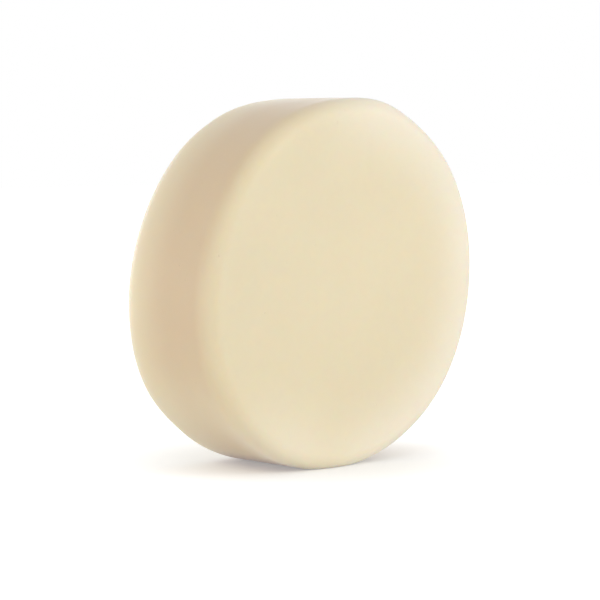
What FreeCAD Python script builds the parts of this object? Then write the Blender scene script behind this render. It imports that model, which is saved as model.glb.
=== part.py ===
import FreeCAD, Part
import math
import os
from FreeCAD import Vector

# A whole wheel of young kashkaval cheese, which stands on its rim.
#
# The curd is pressed in a round mould between two flat boards, so both faces are flat and
# the rim is straight. The wheel leaves the mould soft: its edges round off, more at the back
# than at the front, it leans into a slight oval while it is turned and stored, and it settles
# on a small flat foot under its own weight.
#
# Lengths are in millimetres and angles in degrees. The wheel's axis runs along Y with the
# front face towards -Y, +Z is up, and the origin lies under the wheel's middle, on the
# surface that it stands on. Angles round the wheel start at +X and rise towards +Z.

# Overall size
mean_diameter = 300.0       # across the rim, the mean over all directions without the shoulders
thickness = 107.0           # from face to face

# Rounded edges, where a face turns into the rim
front_edge_radius = 14.0    # mean radius at the front face
back_edge_radius = 16.5     # mean radius at the back face
edge_sway = 1.2             # how far each radius grows on its worn side and shrinks opposite
front_worn_side = 150.0     # where the front edge is roundest
back_worn_side = 205.0      # where the back edge is roundest

# How far the rim strays from a true circle
lean_height = 4.5           # the oval: the rim stands out by this much on its long diagonal
lean_angle = 42.0           # direction of that diagonal
square_height = 0.9         # four broad corners, left by the hands that turned the wheel
square_angle = 39.0
palm_height = 0.45          # five shallower swells
palm_angle = 42.0
dent_height = 0.3           # three faint ones
dent_angle = 73.5

# Two blunt shoulders, where the soft wheel was propped while it drained
upper_shoulder_height = 3.4
upper_shoulder_angle = 73.0
upper_shoulder_spread = 13.0    # how far to either side it has sunk to about a third
lower_shoulder_height = 2.2
lower_shoulder_angle = 210.0
lower_shoulder_spread = 17.0

# The foot
foot_depth = 2.0            # how much of the lowest swell is pressed flat

# Each swell of the rim: how many crests it has, its height and the angle of one crest
swells = [
    (2, lean_height, lean_angle),
    (3, dent_height, dent_angle),
    (4, square_height, square_angle),
    (5, palm_height, palm_angle),
]

# Each shoulder: its height, direction and spread
shoulders = [
    (upper_shoulder_height, upper_shoulder_angle, upper_shoulder_spread),
    (lower_shoulder_height, lower_shoulder_angle, lower_shoulder_spread),
]

# Points that carry each ring of the skin, enough for the narrowest shoulder to run smoothly
points_round_the_wheel = 40

# Rows of knots across each rounded edge: they leave its shape alone and keep its facets even
rows_across_an_edge = 10
exact = 1e-6                # how closely the added knots keep that shape


def rim_radius(angle):
    """Distance from the wheel's axis to the rim in one direction."""
    radius = mean_diameter / 2
    for crests, height, crest_angle in swells:
        radius += height * math.cos(math.radians(crests * (angle - crest_angle)))
    for height, direction, spread in shoulders:
        away = (angle - direction + 180) % 360 - 180
        radius += height * math.exp(-(away / spread) ** 2)
    return radius


def front_inset(angle):
    """Radius of the front edge in one direction."""
    return front_edge_radius + edge_sway * math.cos(math.radians(angle - front_worn_side))


def back_inset(angle):
    """Radius of the back edge in one direction."""
    return back_edge_radius + edge_sway * math.cos(math.radians(angle - back_worn_side))


def ring(inset, depth):
    """A closed smooth curve round the wheel.

    inset(angle) is how far it lies inside the rim, and depth(angle) is its place along Y.
    """
    points = []
    for step in range(points_round_the_wheel):
        angle = 360.0 * step / points_round_the_wheel
        reach = rim_radius(angle) - inset(angle)
        turn = math.radians(angle)
        points.append(Vector(reach * math.cos(turn), depth(angle), reach * math.sin(turn)))
    even_steps = [float(step) for step in range(points_round_the_wheel + 1)]
    curve = Part.BSplineCurve()
    curve.interpolate(Points=points, PeriodicFlag=True, Parameters=even_steps)
    return curve


def band(rings):
    """A surface that closes on itself round the wheel, carried by two or three rings.

    Two rings are joined by straight lines. Of three, the middle one runs where the outer
    two would meet in a sharp corner, and its weight turns the corner into an exact arc.
    """
    spans = len(rings) - 1
    weights = {1: [1.0, 1.0], 2: [1.0, math.sqrt(0.5), 1.0]}[spans]
    poles = [curve.getPoles() for curve in rings]
    surface = Part.BSplineSurface()
    surface.buildFromPolesMultsKnots(
        poles,
        [spans + 1, spans + 1],
        rings[0].getMultiplicities(),
        [0.0, 1.0],
        rings[0].getKnots(),
        False,
        True,
        spans,
        rings[0].Degree,
        [[weight] * len(poles[0]) for weight in weights],
    )
    if spans == 2:
        for row in range(1, rows_across_an_edge):
            surface.insertUKnot(row / rows_across_an_edge, 1, exact)
    return surface.toShape()


def round_wheel():
    """The wheel as it leaves the mould, with its axis through the origin."""
    front = -thickness / 2
    back = thickness / 2

    def on_the_rim(angle):
        return 0.0

    front_face_outline = ring(front_inset, lambda angle: front)
    front_corner = ring(on_the_rim, lambda angle: front)
    rim_start = ring(on_the_rim, lambda angle: front + front_inset(angle))
    rim_end = ring(on_the_rim, lambda angle: back - back_inset(angle))
    back_corner = ring(on_the_rim, lambda angle: back)
    back_face_outline = ring(back_inset, lambda angle: back)

    shell = Part.makeShell([
        Part.Face(Part.Wire([front_face_outline.toShape()])),
        band([front_face_outline, front_corner, rim_start]),
        band([rim_start, rim_end]),
        band([rim_end, back_corner, back_face_outline]),
        Part.Face(Part.Wire([back_face_outline.toShape()])),
    ])
    shell.sewShape()
    wheel = Part.makeSolid(shell)
    if wheel.Volume < 0:
        wheel.reverse()
    return wheel


def settled_wheel():
    """The wheel with its lowest swell pressed flat, standing on the origin's plane."""
    wheel = round_wheel()
    box = wheel.optimalBoundingBox(False, False)
    floor = box.ZMin + foot_depth
    room = 0.1 * mean_diameter
    above_floor = Part.makeBox(
        box.XLength + 2 * room,
        box.YLength + 2 * room,
        box.ZMax - floor + room,
        Vector(box.XMin - room, box.YMin - room, floor),
    )
    wheel = wheel.common(above_floor).Solids[0]
    wheel.translate(Vector(-box.Center.x, -box.Center.y, -floor))
    return wheel


os.makedirs("parts", exist_ok=True)
cheese_wheel = settled_wheel()
cheese_wheel.exportStep("parts/cheese_wheel.step")

box = cheese_wheel.optimalBoundingBox(False, False)
foot = min(cheese_wheel.Faces, key=lambda face: face.CenterOfMass.z)
print("valid:", cheese_wheel.isValid(), " solids:", len(cheese_wheel.Solids))
print("size: %.2f wide, %.2f thick, %.2f high"
      % (box.XLength, box.YLength, box.ZMax - foot.CenterOfMass.z))
print("volume: %.3f litres" % (cheese_wheel.Volume / 1e6))
print("middle of the mass:", [round(value, 2) for value in cheese_wheel.CenterOfMass])
print("foot: x %.2f to %.2f, y %.2f to %.2f"
      % (foot.BoundBox.XMin, foot.BoundBox.XMax, foot.BoundBox.YMin, foot.BoundBox.YMax))
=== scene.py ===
# %% [markdown]
# # A whole wheel of young kashkaval
# Kashkaval is a stretched-curd cheese. The hot curd is packed into a round mould and pressed
# between two boards, so the wheel has two flat faces and a straight rim. Its skin is thin,
# dry and a little waxy, its edges are soft, and it settles on its rim under its own weight.
# This lesson models one wheel as a spun profile, gives it the unevenness of something that
# hands have turned, and builds one material that lets light a few millimetres in.
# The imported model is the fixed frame. Its box gives the wheel's place, its thickness and the
# height of the table, and the other sizes of the wheel repeat the solid model's.

# %% Load the frame
import math

import bmesh
import bpy
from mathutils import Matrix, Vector, noise


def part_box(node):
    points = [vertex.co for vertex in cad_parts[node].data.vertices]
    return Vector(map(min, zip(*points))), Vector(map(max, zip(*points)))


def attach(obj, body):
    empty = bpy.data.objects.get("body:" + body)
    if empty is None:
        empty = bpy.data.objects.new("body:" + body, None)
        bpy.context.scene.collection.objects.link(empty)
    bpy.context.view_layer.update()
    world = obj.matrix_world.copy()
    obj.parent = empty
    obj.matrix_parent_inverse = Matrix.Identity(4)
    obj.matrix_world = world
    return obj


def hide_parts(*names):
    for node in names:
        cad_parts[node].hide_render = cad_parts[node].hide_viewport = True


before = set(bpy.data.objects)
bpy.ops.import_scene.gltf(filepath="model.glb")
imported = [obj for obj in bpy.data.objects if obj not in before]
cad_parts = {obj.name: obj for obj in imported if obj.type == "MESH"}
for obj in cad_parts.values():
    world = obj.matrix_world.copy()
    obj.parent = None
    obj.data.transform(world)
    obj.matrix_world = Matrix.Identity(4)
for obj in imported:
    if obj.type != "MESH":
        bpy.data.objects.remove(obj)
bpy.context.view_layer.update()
wheel_low, wheel_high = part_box("cheese_wheel")
MM = 0.001
print("the CAD wheel spans, in mm:", [round(side / MM, 1) for side in wheel_high - wheel_low])

# %% [markdown]
# ## The outline of the wheel
# A real wheel is never quite round. It leans into an oval while it is turned and stored, and
# a few broad, shallow swells stay from the hands. Each swell is a cosine round the rim with
# its own number of crests, height and direction. Two blunt shoulders stay where the soft
# wheel was propped. Each is a single hump. All have the sizes of the solid model. Directions
# are in degrees, from +X towards +Z.

# %% Sizes of the wheel
mean_radius = 150.0 * MM
thickness = wheel_high.y - wheel_low.y
front_edge_radius = 14.0 * MM
back_edge_radius = 16.5 * MM
edge_sway = 1.2 * MM        # how far each radius grows on its worn side and shrinks opposite
front_worn_side = 150.0     # direction in which the front edge is roundest
back_worn_side = 205.0
foot_depth = 2.0 * MM       # how much of the lowest swell is pressed flat

# crests round the rim, height, direction of one crest
swells = [(2, 4.5 * MM, 42.0), (3, 0.3 * MM, 73.5), (4, 0.9 * MM, 39.0), (5, 0.45 * MM, 42.0)]

# height, direction, and how far to either side it has sunk to about a third
shoulders = [(3.4 * MM, 73.0, 13.0), (2.2 * MM, 210.0, 17.0)]
print("mean diameter and thickness, in mm:", round(2 * mean_radius / MM, 1),
      round(thickness / MM, 1))


# %% Distance from the axis to the rim
def turn_between(angle, direction):
    """The turn from a direction to an angle, from -180 to 180 degrees."""
    return (angle - direction + 180) % 360 - 180


def rim_radius(angle):
    """Distance from the wheel's axis to its rim in one direction."""
    radius = mean_radius
    for crests, height, crest_angle in swells:
        radius += height * math.cos(math.radians(crests * (angle - crest_angle)))
    for height, direction, spread in shoulders:
        radius += height * math.exp(-(turn_between(angle, direction) / spread) ** 2)
    return radius


print("the rim's distance from the axis, to the right and at the top, in mm:",
      round(rim_radius(0.0) / MM, 2), round(rim_radius(90.0) / MM, 2))

# %% Where the wheel's axis runs
# The frame's origin is under the middle of the wheel's box, which isn't quite its axis.
outline_step = 0.25
outline_angles = [step * outline_step for step in range(round(360 / outline_step))]
reach_x = [rim_radius(angle) * math.cos(math.radians(angle)) for angle in outline_angles]
reach_z = [rim_radius(angle) * math.sin(math.radians(angle)) for angle in outline_angles]
axis_x = (wheel_low.x + wheel_high.x) / 2 - (min(reach_x) + max(reach_x)) / 2
axis_z = wheel_low.z - min(reach_z) - foot_depth
wheel_middle = Vector((axis_x, (wheel_low.y + wheel_high.y) / 2, axis_z))
print("the wheel's axis passes through, in mm:", [round(c / MM, 2) for c in wheel_middle])

# %% [markdown]
# ## Half a section, spun into a wheel
# The wheel could be a cylinder with bevelled edges, but a bevel leaves long thin faces that
# can't carry a dent. A section drawn from the middle of one face to the middle of the other,
# in even steps of a few millimetres, and spun once round gives a regular skin of small faces.
# Each point of the section is a pair: its distance from the axis and its place along Y.

# %% Steps of the section
ring_spacing = 2.8 * MM     # between the rings on a face and on the rim
edge_steps = 9              # across each rounded edge
steps_round = 336           # round the wheel
rim_length = thickness - front_edge_radius - back_edge_radius
flat_reach = mean_radius - max(front_edge_radius, back_edge_radius)
rings_on_a_face = round(flat_reach / ring_spacing)
rings_on_the_rim = round(rim_length / ring_spacing)
print("rings on a face:", rings_on_a_face, " on the rim:", rings_on_the_rim)


# %% Draw the section of a perfectly round wheel
def face_and_edge(corner_radius):
    """From the middle of a face to the rim, as (distance from the axis, depth below it)."""
    face_reach = mean_radius - corner_radius
    points = [(face_reach * step / rings_on_a_face, 0.0) for step in range(rings_on_a_face)]
    for step in range(edge_steps + 1):
        turn = math.pi / 2 * step / edge_steps
        points.append((mean_radius - corner_radius * (1 - math.sin(turn)),
                       corner_radius * (1 - math.cos(turn))))
    return points


def section_points():
    """The whole section from front to back, as (distance from the axis, place along Y)."""
    front, back = -thickness / 2, thickness / 2
    points = [(out, front + depth) for out, depth in face_and_edge(front_edge_radius)]
    for step in range(1, rings_on_the_rim):
        way = rim_length * step / rings_on_the_rim
        points.append((mean_radius, front + front_edge_radius + way))
    for out, depth in reversed(face_and_edge(back_edge_radius)):
        points.append((out, back - depth))
    return points


print("points of the section:", len(section_points()))


# %% Spin the section
def spun_wheel():
    """A bmesh of the round wheel, with its axis along Y through the world's origin."""
    mesh = bmesh.new()
    verts = [mesh.verts.new((out, along, 0.0)) for out, along in section_points()]
    edges = [mesh.edges.new(pair) for pair in zip(verts, verts[1:])]
    bmesh.ops.spin(mesh, geom=verts + edges, cent=(0, 0, 0), axis=(0, 1, 0),
                   angle=math.tau, steps=steps_round, use_merge=True)
    bmesh.ops.remove_doubles(mesh, verts=mesh.verts, dist=0.01 * MM)
    bmesh.ops.recalc_face_normals(mesh, faces=mesh.faces)
    return mesh


wheel = spun_wheel()
print("faces in the spun wheel:", len(wheel.faces))

# %% [markdown]
# ## From round to real
# Every point now moves to where the uneven wheel has it. Points on a face spread in step with
# the outline, and points on a rounded edge keep their place on the arc while the arc's
# radius sways from one side of the wheel to the other.

# %% Where a point of the round wheel goes
on_the_axis = 0.001 * MM    # a point nearer than this has no direction and stays


def edge_radius(angle, front):
    """Radius of the front or back edge in one direction."""
    mean, worn_side = ((front_edge_radius, front_worn_side) if front
                       else (back_edge_radius, back_worn_side))
    return mean + edge_sway * math.cos(math.radians(angle - worn_side))


def to_uneven(point):
    """Where a point of the round wheel lies on the uneven one."""
    out = math.hypot(point.x, point.z)
    if out < on_the_axis:
        return point.copy()
    angle = math.degrees(math.atan2(point.z, point.x))
    front = point.y < 0
    round_radius = front_edge_radius if front else back_edge_radius
    radius = edge_radius(angle, front)
    rim = rim_radius(angle)
    inset = mean_radius - out
    below_face = thickness / 2 - abs(point.y)
    if inset < round_radius:
        out = rim - inset * radius / round_radius
    else:
        out = (rim - radius) * out / (mean_radius - round_radius)
    if below_face < round_radius:
        below_face *= radius / round_radius
    else:
        way_to_middle = (below_face - round_radius) / (thickness / 2 - round_radius)
        below_face = radius + way_to_middle * (thickness / 2 - radius)
    along = (thickness / 2 - below_face) * (-1 if front else 1)
    turn = math.radians(angle)
    return Vector((out * math.cos(turn), along, out * math.sin(turn)))


print("front edge radius where it is roundest, in mm:",
      round(edge_radius(front_worn_side, front=True) / MM, 2))

# %% Follow the outline and the swaying edges
for vert in wheel.verts:
    vert.co = to_uneven(vert.co)
bmesh.ops.translate(wheel, verts=wheel.verts, vec=wheel_middle)
wheel.normal_update()
print("highest point of the wheel, in mm:", round(max(v.co.z for v in wheel.verts) / MM, 2))

# %% [markdown]
# ## The give of pressed curd
# Up close, no part of the skin is a true plane. The boards leave each face a little hollow
# and wavy, the mould leaves the rim softly rippled, and handling adds a few shallow dents.
# All of it goes inwards, and nowhere much deeper than a millimetre, so that the wheel keeps
# its size.

# %% Sizes of waves and dents
face_wave_size = 70 * MM
face_wave_depth = 0.3 * MM
rim_wave_size = 38 * MM
rim_wave_depth = 0.45 * MM
knit_size = 11 * MM         # the lumps of curd that knitted together under the press
knit_depth = 0.06 * MM
seed_offset = Vector((3.7, 1.9, 8.2))   # picks the stretch of noise that is used

# direction round the wheel, distance from the axis as a share of the rim's,
# place along Y as a share of the thickness, width, depth
dents = [
    (196.0, 1.0, 0.10, 34 * MM, 0.6 * MM),
    (158.0, 1.0, -0.22, 26 * MM, 0.5 * MM),
    (228.0, 0.97, 0.46, 40 * MM, 0.8 * MM),
    (118.0, 1.0, 0.28, 30 * MM, 0.6 * MM),
    (20.0, 1.0, 0.05, 36 * MM, 0.7 * MM),
    (305.0, 1.0, -0.15, 30 * MM, 0.6 * MM),
    (75.0, 0.62, -0.5, 42 * MM, 0.35 * MM),
    (215.0, 0.55, 0.5, 46 * MM, 0.4 * MM),
]
print("dents:", len(dents))


# %% Push the skin in
def dent_centre(angle, out_share, along_share):
    """The middle of a dent, on or near the skin."""
    turn = math.radians(angle)
    out = rim_radius(angle) * out_share
    local = Vector((out * math.cos(turn), thickness * along_share, out * math.sin(turn)))
    return wheel_middle + local


def soft_noise(point, size):
    """Smooth noise from 0 to 1, with features of about this size."""
    return 0.5 + 0.5 * max(-1.0, min(1.0, noise.noise(point / size + seed_offset)))


placed_dents = [(dent_centre(angle, out_share, along_share), width, depth)
                for angle, out_share, along_share, width, depth in dents]
pushes = []
for vert in wheel.verts:
    faceness = min(1.0, abs(vert.normal.y)) ** 2
    wave = (faceness * face_wave_depth * soft_noise(vert.co, face_wave_size)
            + (1 - faceness) * rim_wave_depth * soft_noise(vert.co, rim_wave_size))
    knit = knit_depth * soft_noise(vert.co, knit_size)
    dent = sum(depth * math.exp(-((vert.co - centre).length / (0.5 * width)) ** 2)
               for centre, width, depth in placed_dents)
    pushes.append((vert, -vert.normal * (wave + knit + dent)))
for vert, push in pushes:
    vert.co += push
print("deepest hollow, in mm:", round(max(push.length for vert, push in pushes) / MM, 2))

# %% [markdown]
# ## The foot
# The wheel is heavy for soft curd, so it flattens where it stands. A plain cut would leave a
# sharp crease where the flat begins. Here the height above the table follows a parabola
# through that zone, which meets the flat on one side and the rim on the other smoothly.

# %% Press the foot flat
crease = 1.2 * MM           # the parabola runs from this far below the table to this far above
table_height = wheel_low.z


def settled_height(height):
    """Height above the table after the curd gave way under the wheel's weight."""
    if height <= -crease:
        return 0.0
    if height >= crease:
        return height
    return (height + crease) ** 2 / (4 * crease)


pressed = [vert for vert in wheel.verts if vert.co.z - table_height < crease]
for vert in pressed:
    vert.co.z = table_height + settled_height(vert.co.z - table_height)
print("points of the foot:", len(pressed))

# %% Make the object
cheese_mesh = bpy.data.meshes.new("cheese_wheel_skin")
wheel.to_mesh(cheese_mesh)
wheel.free()
cheese_mesh.polygons.foreach_set("use_smooth", [True] * len(cheese_mesh.polygons))
cheese = bpy.data.objects.new("cheese_wheel_skin", cheese_mesh)
bpy.context.scene.collection.objects.link(cheese)
print("points of the skin:", len(cheese_mesh.vertices))

# %% [markdown]
# ## Where the skin differs, and where light and shade are painted
# The faces lay under cloth and boards and stayed pale. The rim met the metal of the mould and
# more air afterwards, so it is a little warmer. It is also painted darker in its middle, as
# painted shade where it turns away from the lamps, and less so on its lower left, as painted
# light from the table. A paler colour along the edges is painted light: on the front edge on
# one side only, weaker at the bottom, and all round the back edge. Where the rim meets the
# table a brown is painted as the shade of the contact. Three painted shares, from 0 to 1, tell
# the material where that is. They follow the distance along the skin from where a face's edge
# starts to turn, the direction round the wheel and the height above the table, so they change
# gently. An image could carry them, but the skin would have to be unwrapped first. Values
# stored on the points of the mesh need no unwrapping.

# %% Sizes of what is painted on the skin
rim_starts = 7 * MM         # along the skin from where the face ends
front_rim_is_full = 28 * MM
back_rim_is_full = 70 * MM  # the tan and its painted shade fade more slowly towards the back edge
painted_light_from_table = (219.0, 15.0, 0.42)  # direction and spread of the lower left of the rim, painted lighter as light from the table would make it, and the share of tan taken off there

pale_starts = -75 * MM      # well inside the face
pale_is_full = 16 * MM
pale_ends = 46 * MM         # on the rim
pale_middle = -18.0         # direction of the middle of the pale side
pale_half = 84.0            # fully pale this far to either side of it
pale_fade = 50.0            # and gone this much further on
less_painted_light_below = (-99.0, 17.0, 0.5)  # direction and spread of the bottom, where the painted light is weaker, and the share of it taken off
back_painted_light = 0.55            # painted light on the back edge, as this share of the paler colour, all round
back_painted_light_reach = 30 * MM   # to either side of where that edge starts

contact_shade_height = (2 * MM, 14 * MM)  # painted contact shade, above the table: full below the first height, none past the second
front_contact_shade = (14 * MM, 34 * MM)  # along the skin: no painted shade before the first, full past the second
back_contact_shade = (4 * MM, 16 * MM)
print("the front edge's pale band fades out over, in mm:",
      round((pale_ends - pale_is_full) / MM, 1))


# %% Ways to measure the skin
def smooth_step(value, low, high):
    """0 below low, 1 above high, and an even S-shaped rise between them."""
    share = max(0.0, min(1.0, (value - low) / (high - low)))
    return share * share * (3 - 2 * share)


def way_along_skin(point, front):
    """Distance along the skin from where one face ends, negative on that face."""
    across = point - wheel_middle
    angle = math.degrees(math.atan2(across.z, across.x))
    radius = edge_radius(angle, front)
    past_face = math.hypot(across.x, across.z) - (rim_radius(angle) - radius)
    below_face = thickness / 2 + (across.y if front else -across.y)
    if past_face <= 0 and below_face < radius:
        return past_face
    turn = math.atan2(max(0.0, past_face), max(0.0, radius - below_face))
    return radius * turn + max(0.0, below_face - radius)


def away_from(point, middle):
    """Degrees round the wheel between a point and a direction."""
    angle = math.degrees(math.atan2(point.z - wheel_middle.z, point.x - wheel_middle.x))
    return abs(turn_between(angle, middle))


def painted_light_side(point):
    """1 on the side of the wheel where the front edge has painted light, 0 opposite."""
    return 1 - smooth_step(away_from(point, pale_middle), pale_half, pale_half + pale_fade)


def what_is_left(point, middle, spread, lost):
    """1 far from a direction, and less by the lost share towards it."""
    return 1 - lost * math.exp(-(away_from(point, middle) / spread) ** 2)


foot_middle = Vector((wheel_middle.x, wheel_middle.y, table_height))
print("along the skin from the front face to the foot's middle, in mm:",
      round(way_along_skin(foot_middle, front=True) / MM, 1))

# %% Paint the shares of tan and painted shade, of painted light and of painted contact shade
painted = {"rim_tan_and_shade_share": [], "painted_light_share": [], "painted_contact_shade_share": []}
for vert in cheese_mesh.vertices:
    from_front = way_along_skin(vert.co, front=True)
    from_back = way_along_skin(vert.co, front=False)
    # the rim's colour: partly its own warmer tan and partly painted shade, darkest in the middle
    # of the rim, lighter towards both edges, and painted lighter on the lower left as light from
    # the table would make it
    tan = (smooth_step(from_front, rim_starts, front_rim_is_full)
           * smooth_step(from_back, rim_starts, back_rim_is_full)
           * what_is_left(vert.co, *painted_light_from_table))
    # painted light along the front edge, on the right of the wheel where light catches that edge
    light_towards_edge = smooth_step(from_front, pale_starts, pale_is_full) ** 2
    past_edge = 1 - smooth_step(from_front, pale_is_full, pale_ends)
    # painted light along the back edge, where light from behind catches it
    on_back_edge = 1 - smooth_step(abs(from_back - rim_starts), 0.0, back_painted_light_reach)
    front_painted_light = painted_light_side(vert.co) * light_towards_edge * past_edge * what_is_left(vert.co, *less_painted_light_below)
    # painted shade in brown where the rim meets the table
    contact_shade = ((1 - smooth_step(vert.co.z - table_height, *contact_shade_height))
            * smooth_step(from_front, *front_contact_shade) * smooth_step(from_back, *back_contact_shade))
    painted["rim_tan_and_shade_share"].append(tan)
    painted["painted_light_share"].append(max(front_painted_light, back_painted_light * on_back_edge))
    painted["painted_contact_shade_share"].append(contact_shade)
for name, shares in painted.items():
    cheese_mesh.attributes.new(name, "FLOAT", "POINT").data.foreach_set("value", shares)
    print(name, "from", round(min(shares), 3), "to", round(max(shares), 3))

# %% [markdown]
# ## The cheese
# Young kashkaval is a dense, fatty curd. Light enters it, scatters for a few millimetres and
# comes out warmer, which softens every shadow edge. The skin is a thin dried layer with a dull
# waxy gloss. Its colour is nearly even, with a broad drift of tone, a fine mottle of fat and
# whey, and here and there a pinprick where air was pressed out.
# A plain diffuse colour would look like plaster, so the shader scatters light below the
# surface. The drift, the mottle and the pinpricks are noise in Object coordinates, which
# keeps its size in millimetres on the faces, the edges and the rim alike.

# %% Helpers for materials
def linear(hex_colour):
    """An sRGB hex colour as the linear colour that Blender works with."""
    channels = [int(hex_colour[i:i + 2], 16) / 255 for i in (1, 3, 5)]
    curved = [c / 12.92 if c <= 0.04045 else ((c + 0.055) / 1.055) ** 2.4 for c in channels]
    return (*curved, 1.0)


def scale_for(size):
    """Texture scale that gives a pattern of this size, in metres."""
    return 1.0 / size


def add_node(tree, kind, inputs=None, **settings):
    """Adds a node, sets its properties, and fills its inputs with values or with links."""
    node = tree.nodes.new(kind)
    for name, value in settings.items():
        setattr(node, name, value)
    for name, value in (inputs or {}).items():
        if isinstance(value, bpy.types.NodeSocket):
            tree.links.new(value, node.inputs[name])
        else:
            node.inputs[name].default_value = value
    return node


def new_material(name):
    """An empty node material and its output node."""
    material = bpy.data.materials.new(name)
    material.use_nodes = True
    material.node_tree.nodes.clear()
    return material, material.node_tree, material.node_tree.nodes.new("ShaderNodeOutputMaterial")


print("mid grey #808080 in linear light:", round(linear("#808080")[0], 3))

# %% Colour of the skin, layer on layer
face_cream = linear("#E6D9B8")
skin_layers = [
    ("rim_tan_and_shade_share", linear("#D2BB9A")),   # tan of the rim, and painted shade in its middle
    ("painted_light_share", linear("#F3EAD6")),  # paler colour: painted light along the edges
    ("painted_contact_shade_share", linear("#A88063")),  # brown: painted shade where the rim meets the table
]

cheese_material, cheese_tree, cheese_output = new_material(
    "Young kashkaval, pressed stretched curd")
on_cheese = add_node(cheese_tree, "ShaderNodeTexCoord").outputs["Object"]
centred = add_node(cheese_tree, "ShaderNodeMapping",
                   {"Vector": on_cheese, "Location": -wheel_middle},
                   vector_type="POINT").outputs["Vector"]

# in a colour Mix, input 0 is the share, inputs 6 and 7 the colours and output 2 the result
skin_colour = face_cream
for name, layer_colour in skin_layers:
    share = add_node(cheese_tree, "ShaderNodeAttribute", attribute_name=name).outputs["Fac"]
    skin_colour = add_node(cheese_tree, "ShaderNodeMix",
                           {0: share, 6: skin_colour, 7: layer_colour},
                           data_type="RGBA").outputs[2]
print("painted layers:", [name for name, layer_colour in skin_layers])

# %% A broad drift of tone and a fine mottle of fat and whey
drift_size = 90 * MM
mottle_size = 9 * MM
noise_low, noise_high = 0.3, 0.7    # nearly all of a noise texture lies between these
drift_swing = 0.015                 # the drift is this share darker or lighter
mottle_swing = 0.008

drift = add_node(cheese_tree, "ShaderNodeTexNoise",
                 {"Vector": centred, "Scale": scale_for(drift_size),
                  "Detail": 2.0}).outputs["Fac"]
mottle = add_node(cheese_tree, "ShaderNodeTexNoise",
                  {"Vector": centred, "Scale": scale_for(mottle_size), "Detail": 4.0,
                   "Roughness": 0.6}).outputs["Fac"]
drift_tone = add_node(cheese_tree, "ShaderNodeMapRange",
                      {"Value": drift, "From Min": noise_low, "From Max": noise_high,
                       "To Min": 1 - drift_swing, "To Max": 1 + drift_swing}).outputs["Result"]
mottle_tone = add_node(cheese_tree, "ShaderNodeMapRange",
                       {"Value": mottle, "From Min": noise_low, "From Max": noise_high,
                        "To Min": 1 - mottle_swing,
                        "To Max": 1 + mottle_swing}).outputs["Result"]
tone = add_node(cheese_tree, "ShaderNodeMath", {0: drift_tone, 1: mottle_tone},
                operation="MULTIPLY").outputs[0]
curd_colour = add_node(cheese_tree, "ShaderNodeVectorMath", {0: skin_colour, "Scale": tone},
                       operation="SCALE").outputs["Vector"]
print("nodes so far:", len(cheese_tree.nodes))

# %% Relief too fine to model: grain of the skin and pinpricks
grain_size = 1.6 * MM       # the real grain is finer, and is drawn this coarse so that it shows
grain_depth = 0.05 * MM
pinprick_spacing = 14 * MM
pinprick_radius = 0.9 * MM
pinprick_depth = 0.5 * MM

grain = add_node(cheese_tree, "ShaderNodeTexNoise",
                 {"Vector": centred, "Scale": scale_for(grain_size), "Detail": 3.0})
cells = add_node(cheese_tree, "ShaderNodeTexVoronoi",
                 {"Vector": centred, "Scale": scale_for(pinprick_spacing), "Randomness": 1.0})
pinprick = add_node(cheese_tree, "ShaderNodeMapRange",
                    {"Value": cells.outputs["Distance"],
                     "From Max": pinprick_radius / pinprick_spacing},
                    interpolation_type="SMOOTHSTEP")
grain_bump = add_node(cheese_tree, "ShaderNodeBump",
                      {"Height": grain.outputs["Fac"], "Distance": grain_depth, "Strength": 1.0})
relief = add_node(cheese_tree, "ShaderNodeBump",
                  {"Height": pinprick.outputs["Result"], "Distance": pinprick_depth,
                   "Strength": 1.0, "Normal": grain_bump.outputs["Normal"]})
print("pinpricks are", round(2 * pinprick_radius / MM, 1), "mm wide")

# %% Gloss of the skin and light inside the curd
skin_roughness = (0.46, 0.56)           # the waxy skin is duller where it dried more
skin_ior = 1.45                         # typical of fats and waxes
scatter_share = 0.7                     # this much of the diffuse light scatters inside
scatter_depth = 7 * MM                  # for red light, which goes deepest
scatter_by_colour = (1.0, 0.62, 0.36)   # red, green and blue, against that depth
bloom = {"Sheen Weight": 0.35, "Sheen Roughness": 0.4}  # dried whey, pale at a low slant

roughness = add_node(cheese_tree, "ShaderNodeMapRange",
                     {"Value": mottle, "From Min": noise_low, "From Max": noise_high,
                      "To Min": skin_roughness[0],
                      "To Max": skin_roughness[1]}).outputs["Result"]
shader = add_node(cheese_tree, "ShaderNodeBsdfPrincipled",
                  {"Base Color": curd_colour, "Roughness": roughness, "IOR": skin_ior,
                   "Subsurface Weight": scatter_share, "Subsurface Radius": scatter_by_colour,
                   "Subsurface Scale": scatter_depth, **bloom,
                   "Normal": relief.outputs["Normal"]})
cheese_tree.links.new(shader.outputs["BSDF"], cheese_output.inputs["Surface"])
cheese_mesh.materials.append(cheese_material)

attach(cheese, "root")
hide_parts("cheese_wheel")
print("nodes in the cheese:", len(cheese_tree.nodes))

# %% [markdown]
# ## A pale table
# The wheel stands in a bright, plain studio, on a matt painted board, which has no gloss, so
# that the wheel's shadow is all that shows on it. A board that only the lamps light comes out
# grey. For rays that show it, some light of its own is added to what the lamps give it, less
# of it close to the foot, so that it reads as white and the shadow stays.

# %% Table top
table_side = 14.0
table_bmesh = bmesh.new()
bmesh.ops.create_grid(table_bmesh, x_segments=1, y_segments=1, size=table_side / 2)
bmesh.ops.translate(table_bmesh, verts=table_bmesh.verts, vec=(0, 0, table_height))
table_mesh = bpy.data.meshes.new("table")
table_bmesh.to_mesh(table_mesh)
table_bmesh.free()
table_object = bpy.data.objects.new("table", table_mesh)
bpy.context.scene.collection.objects.link(table_object)
print("table side in metres:", table_side)


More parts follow.
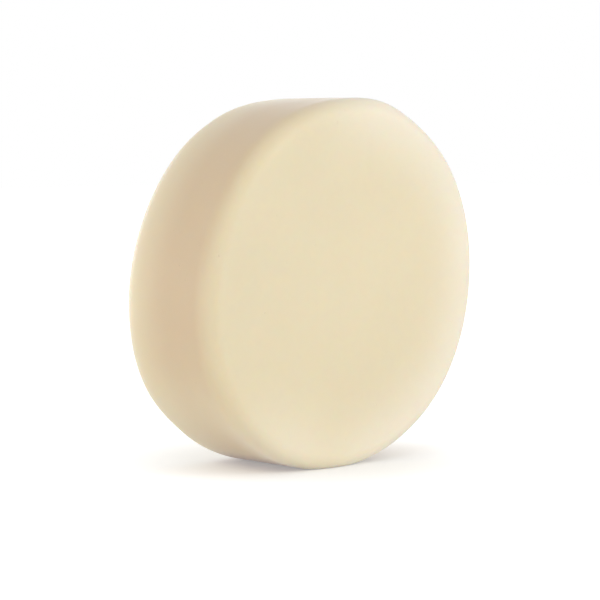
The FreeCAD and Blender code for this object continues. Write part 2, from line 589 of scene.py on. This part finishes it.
# %% Rays that show the background
def shows_background(tree):
    """1 for rays from the camera, in a gloss or through glass, and 0 for rays that only light."""
    path = add_node(tree, "ShaderNodeLightPath")
    share = path.outputs["Is Camera Ray"]
    for kind in ("Is Glossy Ray", "Is Transmission Ray"):
        share = add_node(tree, "ShaderNodeMath", {0: share, 1: path.outputs[kind]},
                         operation="MAXIMUM").outputs[0]
    return share


# %% Paint of the table
lit_board = linear("#F4F4F2")       # what the board gives back to the wheel
shown_board = linear("#E8E8E8")     # what is seen of it, before its own light is added
pure_white = linear("#FFFFFF")
glow_grows = (45 * MM, 240 * MM)    # distances from the origin, which is under the wheel
glow = (0.27, 0.72)                 # its own light up to the first and past the second

table_material, table_tree, table_output = new_material("Matt white board, painted")
on_table = add_node(table_tree, "ShaderNodeTexCoord").outputs["Object"]
from_foot = add_node(table_tree, "ShaderNodeVectorMath", {0: on_table},
                     operation="LENGTH").outputs["Value"]
glow_strength = add_node(table_tree, "ShaderNodeMapRange",
                         {"Value": from_foot, "From Min": glow_grows[0],
                          "From Max": glow_grows[1], "To Min": glow[0], "To Max": glow[1]},
                         interpolation_type="SMOOTHSTEP").outputs["Result"]
lights = add_node(table_tree, "ShaderNodeBsdfDiffuse", {"Color": lit_board}).outputs[0]
paint = add_node(table_tree, "ShaderNodeBsdfDiffuse", {"Color": shown_board}).outputs[0]
own_light = add_node(table_tree, "ShaderNodeEmission",
                     {"Color": pure_white, "Strength": glow_strength}).outputs[0]
shown = add_node(table_tree, "ShaderNodeAddShader", {0: paint, 1: own_light}).outputs[0]
table_surface = add_node(table_tree, "ShaderNodeMixShader",
                         {0: shows_background(table_tree), 1: lights, 2: shown}).outputs[0]
table_tree.links.new(table_surface, table_output.inputs["Surface"])
table_mesh.materials.append(table_material)
print("nodes in the table:", len(table_tree.nodes))

# %% [markdown]
# ## Light
# Soft light from all round fills the shadows. The key is a broad lamp in front, a little to
# the right, and lights the face. Two smaller ones, low on the left, rake the rim and reach
# under its lower half. The last stands behind, lights the back and slides along its edge.
# Bare bulbs would leave hard edges in the shadow, so all four are large squares. The camera
# and the gloss of the skin see a white surround.

# %% World
fill_strength = 0.57        # the light from all round
white_strength = 1.0        # what shows as white

world = bpy.data.worlds.new("white_studio")
bpy.context.scene.world = world
world.use_nodes = True
world_tree = world.node_tree
world_tree.nodes.clear()
world_output = world_tree.nodes.new("ShaderNodeOutputWorld")
fill = add_node(world_tree, "ShaderNodeBackground",
                {"Color": pure_white, "Strength": fill_strength}).outputs[0]
surround = add_node(world_tree, "ShaderNodeBackground",
                    {"Color": pure_white, "Strength": white_strength}).outputs[0]
world_surface = add_node(world_tree, "ShaderNodeMixShader",
                         {0: shows_background(world_tree), 1: fill, 2: surround}).outputs[0]
world_tree.links.new(world_surface, world_output.inputs["Surface"])
print("nodes in the world:", len(world_tree.nodes))


# %% Lamps
def stand_round(thing, azimuth, elevation, distance):
    """Adds a lamp or camera at a distance from the wheel's middle, turned to look at it.

    Azimuth 0 is in front and 90 to the right.
    """
    turn, rise = math.radians(azimuth), math.radians(elevation)
    towards = Vector((math.sin(turn) * math.cos(rise), -math.cos(turn) * math.cos(rise),
                      math.sin(rise)))
    thing.location = wheel_middle + towards * distance
    thing.rotation_euler = towards.to_track_quat("Z", "Y").to_euler()
    bpy.context.scene.collection.objects.link(thing)


def softbox(name, azimuth, elevation, distance, side, watts):
    """A square lamp that looks at the wheel's middle."""
    data = bpy.data.lights.new(name, "AREA")
    data.shape = "SQUARE"
    data.size = side
    data.energy = watts
    stand_round(bpy.data.objects.new(name, data), azimuth, elevation, distance)


# angles in degrees, distances and sides in metres
softbox("key", azimuth=28, elevation=16, distance=4.0, side=2.4, watts=63)
softbox("low_left", azimuth=-72, elevation=4, distance=4.0, side=1.6, watts=40)
softbox("low_back", azimuth=-115, elevation=5, distance=3.6, side=1.0, watts=26.5)
softbox("back", azimuth=180, elevation=8, distance=3.6, side=1.8, watts=28)

# %% [markdown]
# ## Camera
# The camera stands far back with a long lens, a little above the wheel's middle and round to
# the left, so that it sees the whole face and a good part of the rim. From close by, the
# near side of the wheel would look swollen.

# %% Camera
view_azimuth = -43.4
view_elevation = 3.9
view_distance = 12.2 * mean_radius
sensor = 36.0               # width in mm
radius_in_frame = 0.3055    # the mean radius as a share of the frame's width
frame_shift = (-0.0079, -0.0304)    # of the frame's width, to the left and down

camera_data = bpy.data.cameras.new("camera")
camera_data.sensor_width = sensor
camera_data.lens = radius_in_frame * sensor * view_distance / mean_radius
camera_data.shift_x, camera_data.shift_y = frame_shift
camera = bpy.data.objects.new("camera", camera_data)
stand_round(camera, view_azimuth, view_elevation, view_distance)
bpy.context.scene.camera = camera
bpy.context.scene.view_settings.view_transform = "Standard"
print("lens in mm:", round(camera_data.lens, 1), " distance in m:", round(view_distance, 3))
